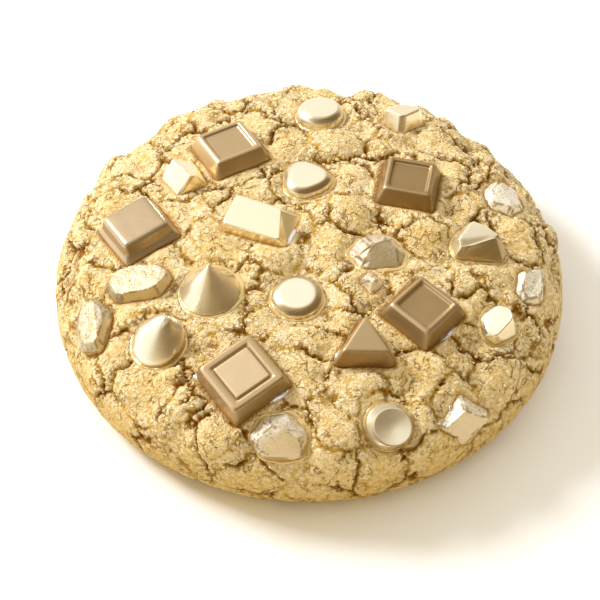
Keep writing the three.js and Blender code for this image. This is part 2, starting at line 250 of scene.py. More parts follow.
# Besides their own colour: amber also paints shade in the crevices, gap and low paint shade between the
# granules, gold also paints shade in small hollows, cream also paints light on bumps, and crack also paints
# a contact shadow along the chips' feet
doughLook = {
    "cream": (0.98, 0.875, 0.65), "tan": (0.95, 0.755, 0.41), "gold": (0.72, 0.48, 0.11),
    "amber": (0.42, 0.19, 0.02), "crack": (0.24, 0.08, 0.0), "wet": (0.7, 0.45, 0.12),
    "gap": (0.4, 0.2, 0.02), "low": (0.88, 0.8, 0.6), "under": (0.42, 0.22, 0.06),
    "roughness": 0.75, "wetRoughness": 0.35, "bumpHeight": 0.5,
    # how many to a millimetre
    "patches": 0.1, "mottle": 0.9, "grain": 1.7, "sand": 2.2, "finest": 2.1,
    "splits": 0.21, "lines": 0.3, "holes": 0.8, "granules": 1.05,
}


def doughMaterial(look):
    material, shader, place = newMaterial("bakedDough")
    crevice, crack, wet, convex, contact, hollow = (
        attribute(material, key) for key in ("crevice", "crack", "wet", "convex", "contact", "hollow"))
    patches = noise(place, look["patches"], 3.0, 0.6)
    mottle = noise(place, look["mottle"], 4.0, 0.7)
    grain = noise(place, look["grain"], 3.0, 0.75)
    sand = noise(place, look["sand"], 2.0, 0.7)
    height = axes(place)[2]

    # hairline splits, finer than the mesh, where a slow noise lets them be
    split = cells(noiseVector(place, 0.45, 2.2), look["splits"], "DISTANCE_TO_EDGE")
    split = ramp(split, 0.036, 0.01)
    split = times(split, ramp(noise(place, 0.3), 0.54, 0.63))
    split = times(split, ramp(grain, 0.38, 0.5))
    line = maths("ABSOLUTE", minus(noise(place, look["lines"], 3.0, 0.55), 0.5))
    here = times(ramp(noise(place, 0.27), 0.53, 0.61), ramp(grain, 0.36, 0.5))
    hair = times(ramp(line, 0.018, 0.005), here)
    halo = times(ramp(line, 0.06, 0.01), here)

    # pin holes, and granules with gaps between them, more in the hollows; the gaps take painted shade
    holes = ramp(cells(noiseVector(place, 1.5, 0.8), look["holes"]), 0.19, 0.1)
    holes = times(holes, ramp(mottle, 0.5, 0.58))
    flaws = larger(larger(split, hair), holes)
    granules = cells(noiseVector(place, 1.3, 0.9), look["granules"])
    gaps = times(ramp(granules, 0.54, 0.68), ramp(noise(place, 0.4, 3.0, 0.6), 0.48, 0.62))
    gaps = times(gaps, timesPlus(hollow, 0.65, 0.35))
    granules = timesPlus(times(granules, granules), -2.2, 1.0)
    finest = ramp(cells(noiseVector(place, 2.2, 0.6), look["finest"]), 0.75, 0.1)

    # the crack colour also paints a contact shadow where the dough meets the chips
    dark = larger(crack, times(flaws, 0.7))
    dark = larger(dark, times(contact, 0.8))
    base = mixColour(ramp(patches, 0.3, 0.7), look["cream"], look["tan"])
    # painted shade: gold in small hollows, amber in the crevices, low and gap between the granules, and
    # crack as a contact shadow; painted light: cream on bumps
    layers = (  # where each colour lies and how much of it shows
        ("gold", ramp(convex, 0.05, -0.16), 1.0), ("cream", ramp(convex, 0.02, 0.14), 0.75),
        ("gold", ramp(mottle, 0.48, 0.72), 0.5), ("cream", ramp(grain, 0.52, 0.7), 0.4),
        ("gold", ramp(grain, 0.46, 0.32), 0.45), ("gold", ramp(sand, 0.5, 0.38), 0.7),
        ("gold", ramp(height, 20.0, 5.0), 0.6), ("amber", crevice, 0.9), ("wet", wet, 0.45),
        ("low", ramp(granules, 0.9, 0.2), 0.7), ("gap", gaps, 0.75), ("amber", halo, 0.4),
        ("crack", dark, 1.0), ("under", ramp(height, 0.8, 0.1), 1.0),
    )
    for colour, mask, share in layers:
        base = layer(base, mask, share, look[colour], "MULTIPLY" if colour in ("low", "gap") else "MIX")

    dry = minus(1.0, times(wet, 0.8))
    fineness = timesPlus(grain, 0.7, times(sand, 1.15))
    crumb = timesPlus(mottle, timesPlus(hollow, 0.5, 0.4), fineness)
    crumb = timesPlus(finest, 0.2, crumb)
    crumb = timesPlus(granules, timesPlus(hollow, 0.6, 0.15), crumb)
    crumb = timesPlus(larger(flaws, gaps), -0.7, crumb)
    fill(shader, {"Base Color": base, "Roughness": spread(wet, look["roughness"], look["wetRoughness"]),
                  "Specular IOR Level": 0.1, "Normal": bump(times(crumb, dry), 1.0, look["bumpHeight"])})
    return material


crumbLook = {"pale": (0.9, 0.7, 0.34), "amber": (0.76, 0.51, 0.18), "roughness": 0.85}
grainLook = {"pale": (0.97, 0.84, 0.5), "amber": (0.84, 0.61, 0.25), "roughness": 0.8}


def crumbMaterial(name, look):
    material, shader, place = newMaterial(name)
    base = mixColour(ramp(noise(place, 0.9), 0.35, 0.65), look["amber"], look["pale"])
    grain = noise(place, 3.2, 3.0, 0.7)
    fill(shader, {"Base Color": layer(base, grain, 0.4, look["pale"]), "Roughness": look["roughness"],
                  "Specular IOR Level": 0.25, "Normal": bump(grain, 0.8, 0.12)})
    return material


# Gold and bronze chocolate: satin, lightly clouded, with a soft uneven polish
def chocolateMaterial(name, look):
    material, shader, place = newMaterial(name)
    cloud = noise(place, 0.12)
    fine = noise(place, 5.0, 2.0, 0.6)
    # tone: each chip's own depth of colour, with painted light and shade from chipTones
    tone = timesPlus(minus(cloud, 0.5), 0.3, attribute(material, "tone"))
    base = mixColour(tone, look["light"], look["deep"])
    soft = bump(noise(place, 0.35, 1.0), 0.4, 0.12)
    fill(shader, {"Base Color": layer(base, fine, 0.1, look["deep"]), "Metallic": look["metal"],
                  "Roughness": spread(cloud, look["smooth"], look["rough"]), "Coat Weight": look["coat"],
                  "Coat Roughness": 0.18, "Normal": bump(fine, 0.2, 0.02, soft)})
    return material


goldLook = {"light": (0.98, 0.91, 0.72), "deep": (0.9, 0.76, 0.48), "smooth": 0.18, "rough": 0.28,
            "metal": 0.92, "coat": 0.1}
bronzeLook = {"light": (0.64, 0.48, 0.28), "deep": (0.285, 0.175, 0.06), "smooth": 0.3, "rough": 0.4,
              "metal": 0.8, "coat": 0.05}
satinLook = {**bronzeLook, "light": (0.66, 0.5, 0.31), "deep": (0.38, 0.26, 0.11), "rough": 0.38}
pillowLook = {**satinLook, "light": (0.52, 0.4, 0.26), "deep": (0.34, 0.235, 0.11)}
# gold with a deep brown for the painted shade on the piped chips' shoulders and shaded faces
paintedShadeGoldLook = {"light": (0.96, 0.88, 0.68), "deep": (0.46, 0.34, 0.17), "smooth": 0.22, "rough": 0.34,
               "metal": 0.85, "coat": 0.1}
meltLook = {"light": (0.74, 0.54, 0.22), "deep": (0.58, 0.38, 0.11), "smooth": 0.16, "rough": 0.3,
            "metal": 0.55, "coat": 0.35}
paintedGlintLook = {"light": (0.86, 0.84, 0.86), "deep": (0.62, 0.58, 0.58), "smooth": 0.1, "rough": 0.25,
              "metal": 0.9, "coat": 0.4}
foilLook = {"light": (0.91, 0.86, 0.74), "deep": (0.75, 0.63, 0.42), "sand": (0.78, 0.61, 0.36),
            "dusk": (0.33, 0.26, 0.14), "speck": (0.28, 0.18, 0.06)}
brightFoilLook = {**foilLook, "light": (0.92, 0.88, 0.76), "deep": (0.84, 0.75, 0.55),
                  "sand": (0.92, 0.8, 0.58)}
dullFoilLook = {**foilLook, "light": (0.56, 0.49, 0.36), "deep": (0.46, 0.36, 0.19),
                "sand": (0.74, 0.52, 0.2)}


# Foil-like chocolate: pale and finely creased, with dark flecks and seams; sand-coloured where it is broken,
# on faces turned away from the light, so partly painted shade
def foilMaterial(name, look):
    material, shader, place = newMaterial(name)
    crease, sandy, tone = (attribute(material, key) for key in ("crease", "sandy", "tone"))
    creases = noise(noiseVector(place, 0.6, 2.0), 0.8, 4.0, 0.65)
    fine = noise(place, 3.4, 3.0, 0.7)
    flecks = ramp(noise(place, 2.2, 3.0, 0.75), 0.53, 0.6)
    flecks = times(flecks, ramp(noise(place, 0.45, 1.0), 0.4, 0.55))
    flecks = times(flecks, timesPlus(sandy, -0.8, 1.0))
    seam = times(ramp(crease, 0.55, 0.15), ramp(noise(place, 0.5, 3.0), 0.44, 0.56))
    base = mixColour(ramp(creases, 0.4, 0.65), look["light"], look["deep"])
    base = layer(base, ramp(fine, 0.45, 0.7), 0.35, look["deep"])
    base = layer(base, sandy, 0.85, mixColour(tone, look["sand"], look["dusk"]))
    base = layer(base, larger(flecks, seam), 0.8, look["speck"])
    rumple = bump(creases, 0.6, 0.3)
    fill(shader, {"Base Color": base, "Roughness": spread(fine, 0.3, 0.6),
                  "Metallic": timesPlus(sandy, -0.4, 0.6), "Normal": bump(fine, 0.6, 0.1, rumple)})
    return material


slotMaterials = {
    "gold_chocolate": chocolateMaterial("goldChocolate", goldLook),
    "bronze_chocolate": chocolateMaterial("bronzeChocolate", bronzeLook),
    "foil_chocolate": foilMaterial("foilChocolate", foilLook),
    "dough": doughMaterial(doughLook),
}
satinGold = chocolateMaterial("satinGold", satinLook)
pillowGold = chocolateMaterial("pillowGold", pillowLook)
toastedGold = chocolateMaterial("toastedGold", paintedShadeGoldLook)
dullFoil = foilMaterial("dullFoil", dullFoilLook)
brightFoil = foilMaterial("brightFoil", brightFoilLook)
meltMaterial = chocolateMaterial("meltedRim", meltLook)
paintedGlintMaterial = chocolateMaterial("silverPool", paintedGlintLook)
looseCrumb = crumbMaterial("looseCrumb", crumbLook)
surfaceGrain = crumbMaterial("surfaceGrain", grainLook)
print("materials made")


# Dough

doughForm = {  # the plain dome under the mounds
    "wideHeight": 10.0, "crownRise": 16.5, "crownPower": 2.7, "baseRadius": 47.0, "footPower": 2.3,
    "crownRings": 142, "footRings": 26, "underRings": (420, 210), "underStep": 0.6, "margin": 0.35,
}


# Points at even spacing along a quarter turn of a curve
def evenSteps(curve, count):
    parts = 1500
    fine = [curve(math.pi / 2 * i / parts) for i in range(parts + 1)]
    lengths = [0.0]
    for before, after in zip(fine, fine[1:]):
        lengths.append(lengths[-1] + math.dist(before, after))
    steps, at = [], 0
    for k in range(count + 1):
        while at < len(fine) - 1 and lengths[at] < lengths[-1] * k / count:
            at += 1
        steps.append(fine[at])
    return steps


# Rows of (radius, height, points) from the crown's centre, round the foot, to the middle of the base
def doughRows(form, radius):
    wide, rise = form["wideHeight"], form["crownRise"]
    rim, foot, power = radius / mm, form["baseRadius"], 2 / form["crownPower"]
    footPower = 2 / form["footPower"]

    def crown(angle):
        return rim * math.sin(angle) ** power, wide + rise * max(0.0, math.cos(angle)) ** power

    def under(angle):
        out = max(0.0, math.cos(angle)) ** footPower
        return foot + (rim - foot) * out, wide * (1 - math.sin(angle) ** footPower)

    rings = form["crownRings"]
    rows = [(r, z, 6 * k) for k, (r, z) in enumerate(evenSteps(crown, rings))]
    rows += [(r, z, 6 * rings) for r, z in evenSteps(under, form["footRings"])[1:]]
    reach = foot
    for points in form["underRings"]:
        reach -= form["underStep"]
        rows.append((reach, 0.0, points))
    last = form["underRings"][-1] // 6
    rows += [(reach * k / last, 0.0, 6 * k) for k in range(last - 1, -1, -1)]
    return rows


# Triangles between two closed rings with any numbers of points
def stitch(faces, first, second):
    i = j = 0
    inner, outer = len(first), len(second)
    while i < inner or j < outer:
        here, there = first[i % inner], second[j % outer]
        if j >= outer or (i < inner and (i + 0.5) * outer <= (j + 0.5) * inner):
            if inner > 1:
                faces.append((here, there, first[(i + 1) % inner]))
            i += 1
        else:
            if outer > 1:
                faces.append((here, there, second[(j + 1) % outer]))
            j += 1


def doughBase(form, radius):
    vertices, faces, previous = [], [], None
    for r, z, points in doughRows(form, radius):
        ring = range(len(vertices), len(vertices) + max(1, points))
        for i in ring:
            angle = 2 * math.pi * (i - ring.start) / max(1, points)
            vertices.append((r * mm * math.cos(angle), r * mm * math.sin(angle), z * mm))
        if previous is not None:
            stitch(faces, previous, ring)
        previous = ring
    return newPiece("dough_baked", vertices, faces)


# Relief raises the solid's mounds, which are looked for from Probe above the dome to Reach below that
doughRelief = {
    "Relief": 1.45, "Probe": 6.0, "Reach": 16.0, "Lowest Mound": -0.9, "Highest Mound": 3.0,
    "Mound Blur": 14, "Convex Blur": 5, "Pillow Height": 1.0, "Lump Height": 0.37, "Nodule Height": 0.32,
    "Crack Depth": 0.6, "Least Rise": 0.55, "Round Rise": -0.15, "Contact Depth": 0.3,
    "Widest": doughHigh.x / mm - 0.02,
}
rimmed = {  # chips with a melted rim: its width, and the way it is widest, in degrees
    "button_back": (0.5, 0), "rounded_triangle": (0.5, 0), "button_middle": (0.5, -60),
    "button_front": (0.45, 60), "cone_drop": (0.85, 20), "kiss_drop": (0.65, -50),
    "faceted_chip": (0.45, -90), "chip_right": (0.5, -60), "nugget_middle": (0.9, -70),
    "nugget_front": (0.85, 20),
}
chipRise = {  # how far the dough climbs a chip's side
    "bar_square_back_left": 1.9, "bar_square_back_right": 1.7, "bar_square_right": 1.5,
    "bar_square_front": 0.9, "pillow_square": 0.5, "bar_block": 0.9, "nugget_back": 1.2,
    "block_left": 0.8, "triangle": 0.9, "foil_nugget_right": 1.0, "foil_block_right": 0.8,
    "foil_bar": 0.8, "cube_front": 0.9, "shard": 0.6,
}


# The dome raised to the solid's mounds, then covered with pillows, lumps and cracks
def doughTree(sizes, material):
    tree, given = geometryTree("doughRelief", {**sizes, "Solid": None, "Chips": None})
    position, normal = own(tree, "Position"), own(tree, "Normal")
    solid, chips = geometryOf(given["Solid"]), geometryOf(given["Chips"])

    # the mounds of the solid, read along the dome's own normal
    start = vectorMaths("ADD", position, scaled(normal, times(given["Probe"], mm)))
    ray = addNode(tree, "GeometryNodeRaycast", {
        "Target Geometry": solid, "Source Position": start, "Ray Direction": scaled(normal, -1.0),
        "Ray Length": times(given["Reach"], mm)})
    rise = minus(given["Probe"], times(ray.outputs["Hit Distance"], 1 / mm))
    rise = times(rise, ray.outputs["Is Hit"])
    rise = smaller(larger(rise, given["Lowest Mound"]), given["Highest Mound"])
    soft = times(blurred(rise, given["Mound Blur"]), given["Relief"])
    near = distanceTo(chips)
    hug = ramp(near, 2.6, 0.3)
    climb = made(tree, "GeometryNodeSampleNearestSurface", {"Mesh": chips, "Value": named(tree, "climb")},
                 data_type="FLOAT")
    snug = smaller(larger(soft, times(climb, given["Least Rise"])), climb)
    soft = made(tree, "ShaderNodeMix", {0: hug, 2: soft, 3: snug})
    geometry = store(given["Geometry"], "rise", soft)
    rise = named(tree, "rise")
    geometry = offsetBy(geometry, normal, rise)

    place = scaled(position, 1 / mm)
    level = axes(place)[2]
    wet = ramp(near, 0.95, 0.25)
    # near the chips: a shallow groove, and a painted contact shadow in the dough's colour
    contact = ramp(near, 0.42, 0.12)
    crest = ramp(level, 9.0, 17.0)  # 0 on the side, 1 on the crown
    above = ramp(level, 0.2, 2.5)  # 0 on the base
    low = times(ramp(rise, 0.6, -0.8), crest)

    # round pillows that part along the edges of uneven cells, each covered with smaller ones
    edges = cells(noiseVector(place, 0.22, 6.0), 0.092, "DISTANCE_TO_EDGE")
    openHere = ramp(noise(place, 0.1), 0.36, 0.58)
    pillows = domed(edges, 0.28)
    crack = times(ramp(edges, 0.04, 0.01), openHere)
    lumps = domed(cells(noiseVector(place, 0.45, 3.0), 0.24, "DISTANCE_TO_EDGE"), 0.34)
    patchy = ramp(noise(place, 0.16), 0.4, 0.62)
    nodules = domed(cells(noiseVector(place, 0.9, 1.4), 0.52, "DISTANCE_TO_EDGE"), 0.4)
    swell = noise(place, 0.2, 3.0, 0.6)

    # hollows are lumpier than tops
    partly = timesPlus(openHere, 0.6, 0.4)
    hollow = larger(low, times(ramp(edges, 0.2, 0.03), partly))
    lumpy = timesPlus(hollow, 1.25, 0.25)
    pillows = times(minus(pillows, 0.85), partly)
    crags = times(pillows, given["Pillow Height"])
    lumps = times(minus(lumps, 0.8), given["Lump Height"])
    lumps = times(lumps, timesPlus(hollow, 0.5, 0.6))
    crags = timesPlus(lumps, timesPlus(patchy, 0.7, 0.3), crags)
    nodules = times(minus(nodules, 0.75), given["Nodule Height"])
    crags = timesPlus(nodules, lumpy, crags)
    crags = plus(crags, timesPlus(swell, 1.0, -0.45))
    height = minus(crags, times(crack, given["Crack Depth"]))
    height = times(height, timesPlus(crest, 0.45, 0.55))
    height = times(height, timesPlus(hug, -0.7, 1.0))
    height = minus(height, times(contact, given["Contact Depth"]))
    height = times(height, above)

    # values for the looks and the crumbs; crevice, contact and convex also carry painted shade into the
    # dough's colour, and convex painted light too
    sinking = times(plus(height, times(rise, 0.5)), crest)
    kept = {"crevice": ramp(sinking, -0.25, -1.3), "crack": times(crack, minus(1.0, wet)),
            "wet": wet, "contact": contact, "hollow": hollow, "near": near, "crest": crest, "height": height}
    for key, value in kept.items():
        geometry = store(geometry, key, value)
    height = named(tree, "height")
    geometry = store(geometry, "convex", minus(height, blurred(height, given["Convex Blur"])))
    geometry = offsetBy(geometry, normal, height)
    return closeTree(tree, heldInside(geometry, given["Widest"]), material)


# Nothing stands out past the widest ring or below the base
def heldInside(geometry, widest):
    tree = geometry.id_data
    across, back, up = axes(own(tree, "Position"))[:3]
    flat = made(tree, "ShaderNodeCombineXYZ", {0: across, 1: back})
    out = addNode(tree, "ShaderNodeVectorMath", {0: flat}, operation="LENGTH").outputs["Value"]
    share = smaller(1.0, maths("DIVIDE", times(widest, mm), larger(out, 1e-6)))
    floor = made(tree, "ShaderNodeCombineXYZ", {2: larger(up, 0.0)})
    inside = vectorMaths("ADD", scaled(flat, share), floor)
    return made(tree, "GeometryNodeSetPosition", {0: geometry, "Position": inside})


# The round section of a pillow: 0 at its edge and 1 from a reach inwards
def domed(edges, reach):
    share = smaller(maths("DIVIDE", edges, reach), 1.0)
    return maths("SQRT", times(share, minus(2.0, share)))


# Each point's own Position or Normal
def own(tree, what):
    return made(tree, "GeometryNodeInput" + what)


# The geometry of an object that a tree is given
def geometryOf(thing):
    return addNode(thing.id_data, "GeometryNodeObjectInfo", {"Object": thing}).outputs["Geometry"]


# How far the nearest part of some geometry is, in millimetres
def distanceTo(geometry, element="FACES"):
    away = addNode(geometry.id_data, "GeometryNodeProximity", {0: geometry}, target_element=element)
    return times(away.outputs["Distance"], 1 / mm)


def blurred(value, rounds):
    inputs = {"Value": value, "Iterations": rounds}
    return made(value.id_data, "GeometryNodeBlurAttribute", inputs)


def store(geometry, name, value):
    inputs = {"Geometry": geometry, "Name": name, "Value": value}
    return made(geometry.id_data, "GeometryNodeStoreNamedAttribute", inputs, data_type="FLOAT",
                domain="POINT")


def named(tree, name):
    return made(tree, "GeometryNodeInputNamedAttribute", {"Name": name}, data_type="FLOAT")


# Moves along the normal by a height in millimetres
def offsetBy(geometry, normal, height):
    inputs = {0: geometry, "Offset": scaled(normal, times(height, mm))}
    return made(geometry.id_data, "GeometryNodeSetPosition", inputs)


# Every chip's solid in one mesh, with how far the dough climbs it
def joinedChips(sizes):
    work = bmesh.new()
    climbs = []
    for name in chipNodes:
        work.from_mesh(frame["nodes"][name].data)
        climb = chipRise.get(name, sizes["Round Rise"])
        climbs += [climb] * (len(work.verts) - len(climbs))
    piece = fromWork("everyChip", work)
    piece.data.attributes.new("climb", "FLOAT", "POINT").data.foreach_set("value", climbs)
    return piece


def makeDough():
    dough = doughBase(doughForm, doughHigh.x - doughForm["margin"] * mm)
    every = joinedChips(doughRelief)
    tree = doughTree(doughRelief, slotMaterials["dough"])
    addTree(dough, tree, {**doughRelief, "Solid": frame["nodes"]["dough"], "Chips": every})
    bake(dough)
    bpy.data.objects.remove(every)
    return dough


dough = makeDough()
print("dough baked:", len(dough.data.polygons), "faces")


# Chocolate

squares = ("bar_square_back_left", "bar_square_back_right", "bar_square_right")
framed = squares + ("bar_square_front",)
moulded = framed + ("pillow_square", "triangle")
piped = ("rounded_triangle", "button_back", "button_middle", "button_front", "cone_drop", "kiss_drop")
worn = ("faceted_chip",)
foilFinish = {"Crinkle": 0.1, "Crease Size": 1.5}
chipTone = {  # 0 is the lightest of its colour, 1 the deepest; 0.5 where none is given
    "pillow_square": 0.6, "bar_square_back_left": 0.5, "bar_square_back_right": 0.95,
    "bar_square_right": 0.85, "triangle": 0.45, "bar_square_front": 0.15, "faceted_chip": 0.1,
    "nugget_middle": 0.85, "nugget_front": 0.1, "cube_front": 0.1, "foil_nugget_right": 0.0,
    "foil_block_right": 0.15, "shard": 0.2, "foil_bar": 0.35, "foil_lump_left": 0.2,
    "button_back": 0.0, "rounded_triangle": 0.0, "button_middle": 0.05, "button_front": 0.15,
    "kiss_drop": 0.15, "cone_drop": 0.08,
}
# A face is lighter as it turns the lit way and deeper as it turns the shaded way
toneSlope = {"lit": (-0.85, -0.4, 0.3), "shaded": (0.5, -0.85, 0.0), "change": 0.45}
# Painted shade and highlight: how much deeper a chip is painted round its shoulder (lighter, a painted
# highlight, where negative), on faces turned the shaded way, and round its panel
paintedShoulderShadeAndHighlight = {
    "button_back": 1.0, "rounded_triangle": 1.2, "button_middle": 1.6, "button_front": 1.1, "kiss_drop": 0.4,
    **dict.fromkeys(squares, -0.7), "bar_square_back_left": -0.6, "triangle": -0.8, "pillow_square": -0.7,
    "bar_square_front": -0.3,
}
shoulderBand = {"from": 0.45, "in": 0.2, "to": 0.985, "out": 0.07}  # by how far a face turns up
paintedFrontShade = {"triangle": 0.7, "faceted_chip": 1.1, "cone_drop": 0.3, "kiss_drop": 0.3}
# Round the panel: lighter on two bronze squares, a painted highlight; deeper on bar_square_front
frameTone = {"bar_square_front": 0.6, "bar_square_back_left": -0.08, "bar_square_right": -0.08}
special = {  # chips with a finish other than their slot's
    **dict.fromkeys(piped + worn, toastedGold), **dict.fromkeys(("foil_bar", "foil_lump_left"), dullFoil),
    **dict.fromkeys(("shard", "foil_nugget_right", "foil_block_right"), brightFoil),
    "bar_square_front": satinGold, "pillow_square": pillowGold,
}
edgeWear = {  # by chip or slot: width, flat levels that keep the faces flat, smooth levels, segments
    **dict.fromkeys(moulded, (0.95, 1, 2)), **dict.fromkeys(piped, (0.5, 0, 3)),
    **dict.fromkeys(worn, (1.1, 0, 4, 1)), "foil_chocolate": (0.5, 2, 1),
    "gold_chocolate": (0.45, 2, 1), "bronze_chocolate": (0.45, 2, 1),
}
chipShape = {
    "sunken": 3.2,  # how far a solid reaches below the dough's level
    "panelDrop": dict.fromkeys(squares, 0.2),
    "dished": {"button_front": 0.6},  # how deep a top is hollowed
    # shares of the width: a top drawn in over the last fifth of the height, and a belly
    "pressed": {"button_back": 0.15, "rounded_triangle": 0.16, "button_middle": 0.2, "button_front": -0.04},
    "shoulder": 0.2, "bellied": {"kiss_drop": 0.14},
    "chamfer": (0.25, 0.7),  # how far below the crown the edges of a moulded chip's chamfer lie
    "weld": 0.004,
}
# Bends in degrees: up to which faces are made one, and from which an edge is worn or is a ridge
chipAngles = {"join": 12, "square": 60, "flat": 1, "panel": 2, "worn": 16, "ridge": 20}
bends = {key: math.radians(angle) for key, angle in chipAngles.items()}


def weldedSolid(name):
    work = bmesh.new()
    work.from_mesh(frame["nodes"][name].data)
    bmesh.ops.remove_doubles(work, verts=work.verts, dist=chipShape["weld"] * mm)
    return work


def largestTop(work):
    return max((f for f in work.faces if f.normal.z > 0.5), key=lambda f: f.calc_area())


# Rings drawn in or out about the middle of the top, by how high they lie
def swellPiece(name, work, top, up):
    pressed, bellied = chipShape["pressed"].get(name, 0.0), chipShape["bellied"].get(name, 0.0)
    shoulder = chipShape["shoulder"]
    middle = top.calc_center_median()
    foot = min(v.co.dot(up) for v in work.verts) + chipShape["sunken"] * mm
    height = middle.dot(up) - foot
    for vertex in work.verts:
        share = (vertex.co.dot(up) - foot) / height
        size = 1.0 - pressed * max(0.0, (share - (1.0 - shoulder)) / shoulder) ** 2
        size += bellied * max(0.0, math.sin(math.pi * min(1.0, max(0.0, share))))
        offset = vertex.co - middle
        along = up * offset.dot(up)
        vertex.co = middle + along + (offset - along) * size


# The narrow chamfer under a moulded chip's top edge is taken out, for a rounder edge
def dropChamfer(name, work, top, up, crown):
    least, most = (size * mm for size in chipShape["chamfer"])
    kept = set(top.edges)
    if name in framed:
        kept = {edge for face in work.faces for edge in face.edges if kept & set(face.edges)}
    chamfer = []
    for edge in set(work.edges) - kept:
        along = (edge.verts[0].co - edge.verts[1].co).normalized()
        if abs(along.dot(up)) < 0.3 and least < crown - edge.verts[0].co.dot(up) < most:
            chamfer.append(edge)
    chamfer.sort(key=lambda e: e.index)
    bmesh.ops.dissolve_edges(work, edges=chamfer, use_verts=True)


# The solid's loose triangles made one skin of quads, its two caps whole and its edges weighed for wear
def mergedCopy(name, everyEdge):
    work = weldedSolid(name)
    bmesh.ops.join_triangles(work, faces=work.faces, angle_face_threshold=bends["join"],
                             angle_shape_threshold=bends["square"])
    flat = [e for e in work.edges if e.calc_face_angle() < bends["flat"]
            and all(len(f.verts) == 3 for f in e.link_faces)]
    bmesh.ops.dissolve_edges(work, edges=flat, use_verts=False)
    weights = work.edges.layers.float.new("bevel_weight_edge")
    up = sum((f.normal for f in work.faces if len(f.verts) > 4 and f.normal.z > 0.5), Vector())
    up.normalize()
    top = largestTop(work)
    for vertex in top.verts:
        vertex.co -= up * (chipShape["panelDrop"].get(name, 0.0) * mm)
    swellPiece(name, work, top, up)
    crown = max(v.co.dot(up) for v in work.verts)
    if name in moulded:
        dropChamfer(name, work, top, up, crown)
    panelEdges = set(top.edges)
    for edge in work.edges:
        along = (edge.verts[0].co - edge.verts[1].co).normalized()
        level = everyEdge or abs(along.dot(up)) < 0.5
        byPanel = any(other in panelEdges for face in edge.link_faces for other in face.edges)
        low = crown - edge.verts[0].co.dot(up) > chipShape["chamfer"][0] * mm
        if name in moulded and low and edge not in panelEdges:
            continue
        if level and edge.calc_face_angle() > bends["worn"]:
            edge[weights] = 0.5 if name in framed and byPanel else 1.0
    if name in chipShape["dished"]:
        bmesh.ops.poke(work, faces=[top], offset=-chipShape["dished"][name] * mm)
    return fromWork(name + "_chocolate", work)


# The two ways that a foil piece's broken faces turn, both away from the light, so their sand colour is also
# painted shade
brokenAndShadedSide = {"front": (0.55, -0.75, 0.35), "under": (0.75, -0.6, -0.3)}


# Creases pushed in between the edges, and two values stored for the looks: how far the next edge
# between faces is, and whether a face turns to a broken side away from the light, which takes painted shade
def crinkleTree(sizes):
    tree, given = geometryTree("crinkle", {**sizes, "Ridges": None})
    place = scaled(own(tree, "Position"), 1 / mm)
    normal = own(tree, "Normal")
    warped = noiseVector(place, 0.5, 1.6)
    size = maths("DIVIDE", 1.0, given["Crease Size"])
    folds = maths("ABSOLUTE", minus(noise(warped, size, 2.0, 0.55), 0.5))
    height = times(timesPlus(folds, -4.0, 0.3), given["Crinkle"])
    away = distanceTo(geometryOf(given["Ridges"]), "EDGES")
    height = times(height, ramp(away, 0.05, 0.5))
    front = ramp(facing(normal, brokenAndShadedSide["front"]), 0.66, 0.78)
    under = ramp(facing(normal, brokenAndShadedSide["under"]), 0.4, 0.6)
    geometry = store(given["Geometry"], "crease", away)
    geometry = store(geometry, "sandy", larger(front, under))
    geometry = offsetBy(geometry, normal, height)
    return closeTree(tree, geometry, slotMaterials["foil_chocolate"])


# The edges between a chip's faces as loose lines
def ridgeLines(name):
    work = weldedSolid(name)
    sharp = [edge for edge in work.edges if edge.calc_face_angle(0.0) > bends["ridge"]]
    vertices = [vertex.co.copy() for edge in sharp for vertex in edge.verts]
    work.free()
    return newPiece(name + "_ridges", vertices, [], [(i, i + 1) for i in range(0, len(vertices), 2)])


crinkle = crinkleTree(foilFinish)


def rounded(piece, width, flatLevels, smoothLevels, segments=3):
    edge = piece.modifiers.new("edge", "BEVEL")
    edge.width = width * mm
    edge.segments = segments
    edge.limit_method = "WEIGHT"
    for kind, levels in (("SIMPLE", flatLevels), ("CATMULL_CLARK", smoothLevels)):
        if levels:
            smooth = piece.modifiers.new("smooth", "SUBSURF")
            smooth.subdivision_type = kind
            smooth.levels = smooth.render_levels = levels


# The flat top of a chip: its centre, two directions and half its width
def panelOf(name):
    work = weldedSolid(name)
    bmesh.ops.dissolve_limit(work, angle_limit=bends["panel"], verts=work.verts, edges=work.edges)
    top = largestTop(work)
    longest = max(top.edges, key=lambda e: e.calc_length())
    along = (longest.verts[0].co - longest.verts[1].co).normalized()
    across = top.normal.cross(along)
    centre = top.calc_center_median()
    half = max(abs((v.co - centre).dot(along)) for v in top.verts)
    work.free()
    return centre, along, across, half


